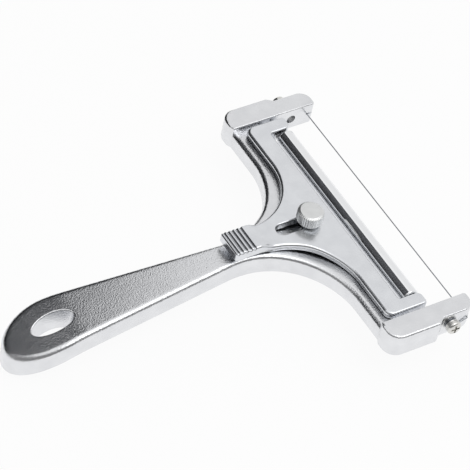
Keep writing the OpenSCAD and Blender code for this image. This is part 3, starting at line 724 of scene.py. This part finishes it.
stud = make_mesh("threaded_stud", stud_grid.reshape(-1, 3), [wrapped(*stud_grid.shape[:2], False)])
finish_piece(stud, drawn_steel, "thumb_screw", "thumb_stud")
stud_hole_r = STUD_R + BORE_GAP
washer = turned("thumb_screw_washer", [(stud_hole_r, WASHER_LIFT, 0.1), (WASHER_R, WASHER_LIFT, 0.12),
                                       (WASHER_R, WASHER_HEIGHT, 0.12), (stud_hole_r, WASHER_HEIGHT, 0.1)],
                (STUD_X, 0, CLAMP_Z), "z", count=64, closed=True)
finish_piece(washer, satin_nickel, "clamp", "thumb_washer")

# %% [markdown]
# ## The wire and its screws
# The wire is one length of stainless spring wire. Each end is looped around a screw on the outer side of an
# ear, held under a washer, and led around the ear's front into a slit. A tube carried along that route makes
# it, with rings square to the route.

# %% Wire
LOOP_R = SCREW_R + WIRE_GAP + WIRE_R
BEND_R = WIRE_R + WIRE_GAP
LOOP_TURN, LOOP_POINTS, BEND_POINTS, SPAN_POINTS = (10, 300), 40, 9, 60
RING_SLANT = np.array((0.5, 0.6, 0.62))
wire_lane = EAR_OUTER - EAR_STEP + WIRE_GAP + WIRE_R
loop = np.radians(np.linspace(*LOOP_TURN, LOOP_POINTS))
bend = np.radians(np.linspace(90, 0, BEND_POINTS))
half_route = np.concatenate((
    np.column_stack((SCREW_X + LOOP_R * np.cos(loop), np.full(LOOP_POINTS, wire_lane),
                     SCREW_Z + LOOP_R * np.sin(loop))),
    np.column_stack((WIRE_X - BEND_R + BEND_R * np.cos(bend), wire_lane - BEND_R + BEND_R * np.sin(bend),
                     np.full(BEND_POINTS, WIRE_Z)))))
span = np.linspace(half_route[-1], half_route[-1] * (1, -1, 1), SPAN_POINTS)[1:-1]
route = np.concatenate((half_route, span, half_route[::-1] * (1, -1, 1)))


def tube_along(route, radius, count=12):
    """Rings of points around a route, each in the plane square to it: a fixed direction, less its part along
    the route, gives the ring's first axis, and the cross product gives its second. The ends are closed to a
    point."""
    along = unit(np.gradient(route, axis=0))
    first = unit(RING_SLANT - (along @ RING_SLANT)[:, None] * along)
    second = np.cross(along, first)
    angle = np.linspace(0, 2 * np.pi, count, endpoint=False)[None, :, None]
    rings = route[:, None] + radius * (np.cos(angle) * first[:, None] + np.sin(angle) * second[:, None])
    start, end = np.repeat(route[None, :1], count, 1), np.repeat(route[None, -1:], count, 1)
    return np.concatenate((start, rings, end))


wire_grid = tube_along(route, WIRE_R)
wire = make_mesh("taut_wire", wire_grid.reshape(-1, 3), [wrapped(*wire_grid.shape[:2], False)])
finish_piece(wire, drawn_steel, "slicer_frame", "cutting_wire")

# %% Wire screws and their washers
HEAD_R, HEAD_HEIGHT, CROWN_R, SCREW_END_GAP = 3.1, 2.2, 1.1, 3.5
RECESS_WIDTH, RECESS_LENGTH, RECESS_DEPTH, RECESS_OVER = 0.9, 4.0, 1.1, 1.0
WIRE_WASHER_HEIGHT = 0.6
washer_y = wire_lane + WIRE_R + WIRE_GAP
head_y = washer_y + WIRE_WASHER_HEIGHT
for side, word in ((1, "left"), (-1, "right")):
    end_y, face_y = EAR_INNER + SCREW_END_GAP, head_y + HEAD_HEIGHT
    profile = [(0, end_y, 0), (SCREW_R, end_y, 0.4), (SCREW_R, head_y, 0.1), (HEAD_R, head_y, 0.15),
               (HEAD_R, face_y, CROWN_R), (0, face_y, 0)]
    screw = turned("cross_screw_" + word, [(r, side * y, edge) for r, y, edge in profile],
                   (SCREW_X, 0, SCREW_Z), "y", count=48)
    depth = sorted((side * (face_y - RECESS_DEPTH), side * (face_y + RECESS_OVER)))
    recess = [box_shape("recess", (SCREW_X - length / 2, depth[0], SCREW_Z - width / 2),
                        (SCREW_X + length / 2, depth[1], SCREW_Z + width / 2))
              for length, width in ((RECESS_LENGTH, RECESS_WIDTH), (RECESS_WIDTH, RECESS_LENGTH))]
    combine(screw, recess, "DIFFERENCE")
    finish_piece(screw, bright_nickel, word + "_wire_screw", "wire_screw_" + word)
    screw_hole_r = SCREW_R + BORE_GAP
    profile = [(screw_hole_r, washer_y, 0.1), (HEAD_R, washer_y, 0.15), (HEAD_R, head_y, 0.15),
               (screw_hole_r, head_y, 0.1)]
    ring = turned("wire_clamp_washer_" + word, [(r, side * y, edge) for r, y, edge in profile],
                  (SCREW_X, 0, SCREW_Z), "y", count=48, closed=True)
    finish_piece(ring, bright_nickel, "slicer_frame", "wire_washer_" + word)

# %% [markdown]
# ## Floor and light
# Chrome shows what is around it more than it shows itself, so the surroundings are part of the finish. The
# floor is plain white to the camera, to glossy rays and to rays through glass, and for all other rays it is
# an ordinary pale matt surface. Part of what the camera sees of it stays matt, which keeps the shadow under
# the slicer.

# %% Floor
FLOOR_HALF, FLOOR_DROP = 3.0, 0.0005
FLOOR_WHITE = 0.92
floor = make_mesh("floor", np.array([(-1, -1), (1, -1), (1, 1), (-1, 1)]) @ np.eye(2, 3) * FLOOR_HALF / MM
                  - (0, 0, FLOOR_DROP / MM), [np.array([(0, 1, 2, 3)])])
paper = bpy.data.materials.new("white_paper_floor")
tree = empty_tree(paper)
ray = add_node(tree, "ShaderNodeLightPath")
shown = add_node(tree, "ShaderNodeMath", {"operation": "MAXIMUM"},
                 {0: (ray, "Is Camera Ray"), 1: (ray, "Is Glossy Ray")})
shown = add_node(tree, "ShaderNodeMath", {"operation": "MAXIMUM"},
                 {0: (shown, 0), 1: (ray, "Is Transmission Ray")})
share = add_node(tree, "ShaderNodeMath", {"operation": "MULTIPLY", 1: FLOOR_WHITE}, {0: (shown, 0)})
matt = add_node(tree, "ShaderNodeBsdfDiffuse", {"Color": linear("#F2F2F2")})
white = add_node(tree, "ShaderNodeEmission", {"Color": (1, 1, 1, 1), "Strength": 1.0})
mixed = add_node(tree, "ShaderNodeMixShader", None, {0: (share, 0), 1: (matt, 0), 2: (white, 0)})
add_node(tree, "ShaderNodeOutputMaterial", None, {"Surface": (mixed, 0)})
floor.data.materials.append(paper)
print("floor", 2 * FLOOR_HALF, "m square")

# %% [markdown]
# The surround is like a photographer's tent: white on the far side and overhead, and dim behind the camera.
# One wide soft light hangs above the head.

# %% Surround
WALL_SIDE, WALL_DARK, WALL_WHITE = np.array((0.55, 0.835, 0.0)), 0.24, 0.84
WALL_EDGE, CEILING_EDGE, CEILING_WHITE = (-0.35, -0.05), (0.66, 0.85), 0.92
world = bpy.data.worlds.new("white_surround")
bpy.context.scene.world = world
tree = empty_tree(world)
look = add_node(tree, "ShaderNodeTexCoord")
side = add_node(tree, "ShaderNodeVectorMath", {"operation": "DOT_PRODUCT", 1: WALL_SIDE},
                {0: (look, "Generated")})
rise = {"interpolation_type": "SMOOTHSTEP", "To Min": WALL_DARK}
wall = add_node(tree, "ShaderNodeMapRange",
                {**rise, "From Min": WALL_EDGE[0], "From Max": WALL_EDGE[1], "To Max": WALL_WHITE},
                {"Value": (side, "Value")})
split = add_node(tree, "ShaderNodeSeparateXYZ", None, {0: (look, "Generated")})
ceiling = add_node(tree, "ShaderNodeMapRange",
                   {**rise, "From Min": CEILING_EDGE[0], "From Max": CEILING_EDGE[1], "To Max": CEILING_WHITE},
                   {"Value": (split, "Z")})
tent = add_node(tree, "ShaderNodeMath", {"operation": "MAXIMUM"},
                {0: (wall, "Result"), 1: (ceiling, "Result")})
room = add_node(tree, "ShaderNodeBackground", {"Color": (1, 1, 1, 1)}, {"Strength": (tent, 0)})
add_node(tree, "ShaderNodeOutputWorld", None, {"Surface": (room, 0)})
print("surround white towards", WALL_SIDE)

# %% Softbox
SOFTBOX_AT, SOFTBOX_SIZE, SOFTBOX_POWER = np.array((0.18, -0.28, 0.62)), 0.5, 0.95
softbox_data = bpy.data.lights.new("softbox", "AREA")
softbox_data.shape = "SQUARE"
softbox_data.size = SOFTBOX_SIZE
softbox_data.energy = SOFTBOX_POWER
softbox = bpy.data.objects.new("softbox", softbox_data)
toward = unit(SOFTBOX_AT)
across = unit(np.cross((0.0, 1.0, 0.0), toward))
softbox.matrix_world = Matrix([(*row, spot) for row, spot in
                               zip(np.column_stack((across, np.cross(toward, across), toward)), SOFTBOX_AT)]
                              + [(0, 0, 0, 1)])
softbox.visible_camera = False
bpy.context.scene.collection.objects.link(softbox)
bpy.context.scene.view_settings.view_transform = "Standard"
print("softbox", SOFTBOX_SIZE, "m wide,", round(float(np.linalg.norm(SOFTBOX_AT)), 2), "m away")

# %% [markdown]
# A dark card stands beyond the handle, blackest near the floor. The camera doesn't see it, but its reflection
# gives the handle's end, the roller and the rounded far edges the dark bands that make them read as metal.

# %% Dark card
CARD_Y, CARD_SHADE = 175.0, (40.0, 300.0)
CARD_OUTLINE = [(-500, 2), (95, 2), (95, 120), (63, 200), (63, 455), (-500, 455)]
card = make_mesh("dark_card", [(x, CARD_Y, z) for x, z in CARD_OUTLINE], [np.arange(len(CARD_OUTLINE))[None]])
felt = bpy.data.materials.new("dark_felt_card")
tree = empty_tree(felt)
place = add_node(tree, "ShaderNodeTexCoord")
split = add_node(tree, "ShaderNodeSeparateXYZ", None, {0: (place, "Object")})
height = add_node(tree, "ShaderNodeMapRange",
                  {"From Min": CARD_SHADE[0] * MM, "From Max": CARD_SHADE[1] * MM}, {"Value": (split, "Z")})
tone = add_node(tree, "ShaderNodeMix",
                {"data_type": "RGBA", MIX_ONE: linear("#101113"), MIX_TWO: linear("#626366")},
                {MIX_FACTOR: (height, "Result")})
matt = add_node(tree, "ShaderNodeBsdfDiffuse", None, {"Color": (tone, MIX_RESULT)})
add_node(tree, "ShaderNodeOutputMaterial", None, {"Surface": (matt, 0)})
card.data.materials.append(felt)
card.visible_camera = card.visible_diffuse = card.visible_shadow = False
print("card with", len(CARD_OUTLINE), "corners,", CARD_Y, "mm beyond the middle")
